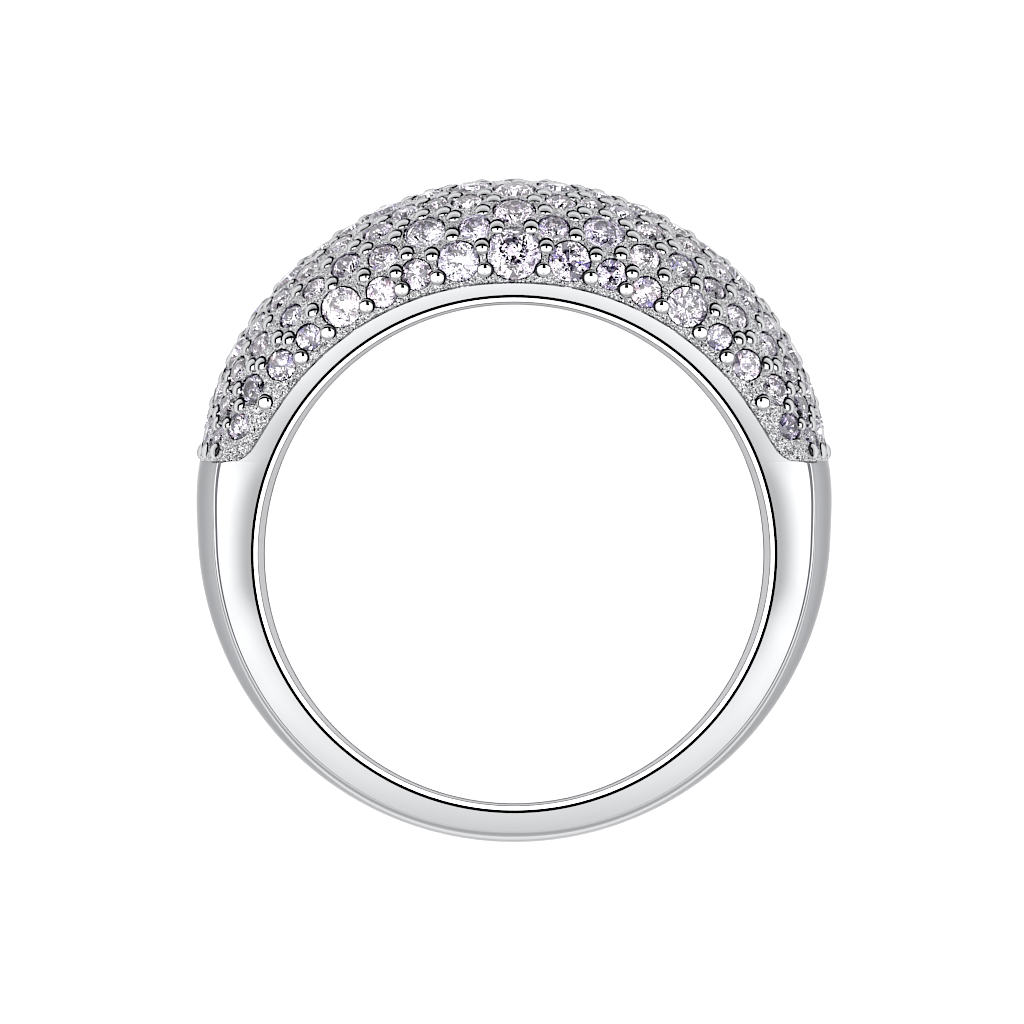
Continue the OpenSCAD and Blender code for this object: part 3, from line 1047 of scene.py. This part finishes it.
def grain_shade_disc(a, share, r, along_rail):
    """A near-black low disc of painted shade beside a grain, towards the crest's middle or along the rail."""
    middle, normal = np.array(bed(a, share)), bed_normal(a, share)
    way = np.array((-math.copysign(1, a) * cos(a), math.copysign(1, a) * sin(a), 0))
    if not along_rail:
        way = np.array((0, crest_y, 0)) - middle
    way = unit(way - normal * (way @ normal))
    profile = [(SHADE_DISC_H, 0), (SHADE_DISC_H * SHADE_DISC_SHOULDER_H, r * SHADE_DISC_SHOULDER_R), (-SHADE_DISC_H, r), (-2 * SHADE_DISC_H, 0)]
    return lambda first: spun(profile, SHADE_DISC_SIDES, middle + way * SHADE_DISC_MOVE, normal, first)


grain_shade_discs = [grain_shade_disc(a, share, SHADE_DISC_R * r / GRAIN_R, False) for a, share, r in grains]
grain_shade_discs += [grain_shade_disc(a, share, SHADE_DISC_R, True) for a, share, r in rail_grains]
grain_shade_mesh = mesh_of("painted_grain_shade_discs", grain_shade_discs)
grain_shade_mesh.materials.append(metals["grain_shade_disc"])
grain_shade_mesh.shade_smooth()
grain_shade_piece = add_piece("painted_grain_shade_discs", grain_shade_mesh)
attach(grain_shade_piece, "root")
print("hollow faces:", len(grain_shade_mesh.polygons))

# %% [markdown]
# ## Floor and light
#
# A mirror shows its room, so the look of polished metal is made by what stands around it. A
# jewellery photographer builds a white tent with a few black strips: white gives the metal its
# brightness, and the strips draw the thin dark lines that show its shape. Here the tent is painted
# on the sky. Four angles name a place in it: how far it slopes towards the crest, how far it lies
# sideways, how far from the finger's axis, and how far from the way that the ring's flat side
# mirrors, because that side is the largest mirror in the picture.

# %% Floor
FLOOR = 1.5
FLOOR_GLOW = 0.6
floor_mesh = bpy.data.meshes.new("floor")
floor_mesh.from_pydata([(-FLOOR, -FLOOR, 0), (FLOOR, -FLOOR, 0), (FLOOR, FLOOR, 0), (-FLOOR, FLOOR, 0)],
                       [], [(0, 1, 2, 3)])
floor_material = bpy.data.materials.new("pale_floor")
floor_material.use_nodes = True
floor_shader = floor_material.node_tree.nodes["Principled BSDF"]
floor_shader.inputs["Base Color"].default_value = (0.7, 0.7, 0.7, 1)
floor_shader.inputs["Roughness"].default_value = 0.6
floor_shader.inputs["Specular IOR Level"].default_value = 0.2
floor_shader.inputs["Emission Color"].default_value = (1, 1, 1, 1)
floor_shader.inputs["Emission Strength"].default_value = FLOOR_GLOW
floor_mesh.materials.append(floor_material)
floor = add_piece("floor", floor_mesh)

# %% The way that the flat side mirrors
side_tilt = math.atan(side_slope)
side_normal = -math.sin(side_tilt) * crestward + math.cos(side_tilt) * finger_axis
mirrored_way = 2 * side_normal.dot(finger_axis) * side_normal - finger_axis
print("the flat side mirrors", [round(v, 3) for v in mirrored_way])

# %% Directions on the sky as nodes
world = bpy.data.worlds.new("tent")
world.use_nodes = True
tree = world.node_tree
background = tree.nodes["Background"]
way = add_node(tree, "ShaderNodeTexCoord")


def joined(operation, *values):
    """A maths node on one to three values or sockets; returns its output."""
    node = add_node(tree, "ShaderNodeMath", operation=operation)
    for socket, value in zip(node.inputs, values):
        if isinstance(value, bpy.types.NodeSocket):
            tree.links.new(value, socket)
        else:
            socket.default_value = value
    return node.outputs[0]


def share_of(direction):
    """How far a place on the sky lies in a direction, as the cosine between them."""
    dot = add_node(tree, "ShaderNodeVectorMath", operation="DOT_PRODUCT")
    dot.inputs[1].default_value = direction
    tree.links.new(way.outputs["Generated"], dot.inputs[0])
    return dot.outputs["Value"]


def brightness(angle, stops):
    """A ramp over an angle from -180 to 180 degrees, given as (degrees, light) stops."""
    ramp = add_node(tree, "ShaderNodeValToRGB")
    tree.links.new(joined("MULTIPLY_ADD", angle, 0.5 / math.pi, 0.5), ramp.inputs["Fac"])
    fill_ramp(ramp.color_ramp, [(degrees / 360 + 0.5, (light,) * 3) for degrees, light in stops])
    return ramp.outputs["Color"]


from_mirror = joined("ARCCOSINE", share_of(mirrored_way))
crest_slope = joined("ARCTAN2", share_of(crestward), share_of(finger_axis))
sideways = joined("ARCSINE", share_of(across))
from_finger_axis = joined("ARCCOSINE", share_of(finger_axis))

# %% [markdown]
# White cloth fills the middle of the tent. A black card above it draws the dark arc on every grain,
# a narrow black strip in the white draws the stem below that arc, and two black cards stand at the
# sides. Around the lens the cloth is grey, because the camera needs a hole to look through, and
# low down a grey wall gives the shank's outer face its even tone.

# %% The tent, painted on the sky
TENT_LIGHT = 2.5
LENS_SPOT = ((0, 0.4), (1.5, 0.42), (3, 0.52), (5, 0.72), (7.5, 0.9), (10, 1))
CREST_SLOPE = (
    (-180, 0.42), (-90, 0.42), (-70, 0.36), (-55, 0.3), (-42, 0.31), (-35, 0.38), (-31, 0.47),
    (-28, 0.57), (-25, 0.68), (-22, 0.8), (-19, 0.9), (-14, 1), (33, 1), (35, 0.01), (61, 0.01),
    (63, 0.32), (90, 0.32),
)
SIDEWAYS = (
    (-90, 0.42), (-79, 0.42), (-77, 0.05), (-60, 0.05), (-57, 0.9), (-50, 1), (50, 1), (57, 0.9), (60, 0.05),
    (77, 0.05), (79, 0.42), (90, 0.42),
)
LOW_WALL = ((-180, 0), (0, 0), (79, 0), (80, 0.44), (180, 0.44))
STEM_MIDDLE, STEM_HALF = 3, 9
STEM_FROM, STEM_TO = 10, 34
light = joined("MULTIPLY", brightness(from_mirror, LENS_SPOT), brightness(crest_slope, CREST_SLOPE))
light = joined("MULTIPLY", light, brightness(sideways, SIDEWAYS))
light = joined("MAXIMUM", light, brightness(from_finger_axis, LOW_WALL))


def between_angles(angle, least, most):
    """1 where an angle is between two limits in degrees, else 0."""
    middle, reach = math.radians((least + most) / 2), math.radians((most - least) / 2)
    return joined("COMPARE", angle, middle, reach)


stem = joined("MULTIPLY", between_angles(sideways, STEM_MIDDLE - STEM_HALF, STEM_MIDDLE + STEM_HALF),
              between_angles(crest_slope, STEM_FROM, STEM_TO))
light = joined("MULTIPLY", light, joined("SUBTRACT", 1, stem))
tree.links.new(light, background.inputs["Color"])
background.inputs["Strength"].default_value = TENT_LIGHT
bpy.context.scene.world = world
bpy.context.scene.view_settings.view_transform = "Standard"
bpy.context.scene.cycles.glossy_bounces = 12
bpy.context.scene.cycles.max_bounces = 16

# %% [markdown]
# A product photograph is sharpened before it is shown, which gives each facet a fine outline. The
# compositor does the same with one filter, mixed in lightly.

# %% A light sharpening
SHARPEN = 0.05
bpy.context.scene.use_nodes = True
picture = bpy.context.scene.node_tree
for node in list(picture.nodes):
    picture.nodes.remove(node)
layers = picture.nodes.new("CompositorNodeRLayers")
sharpen = picture.nodes.new("CompositorNodeFilter")
sharpen.filter_type = "SHARPEN"
sharpen.inputs["Fac"].default_value = SHARPEN
result = picture.nodes.new("CompositorNodeComposite")
picture.links.new(layers.outputs["Image"], sharpen.inputs["Image"])
picture.links.new(sharpen.outputs["Image"], result.inputs["Image"])
print("sharpening:", SHARPEN)
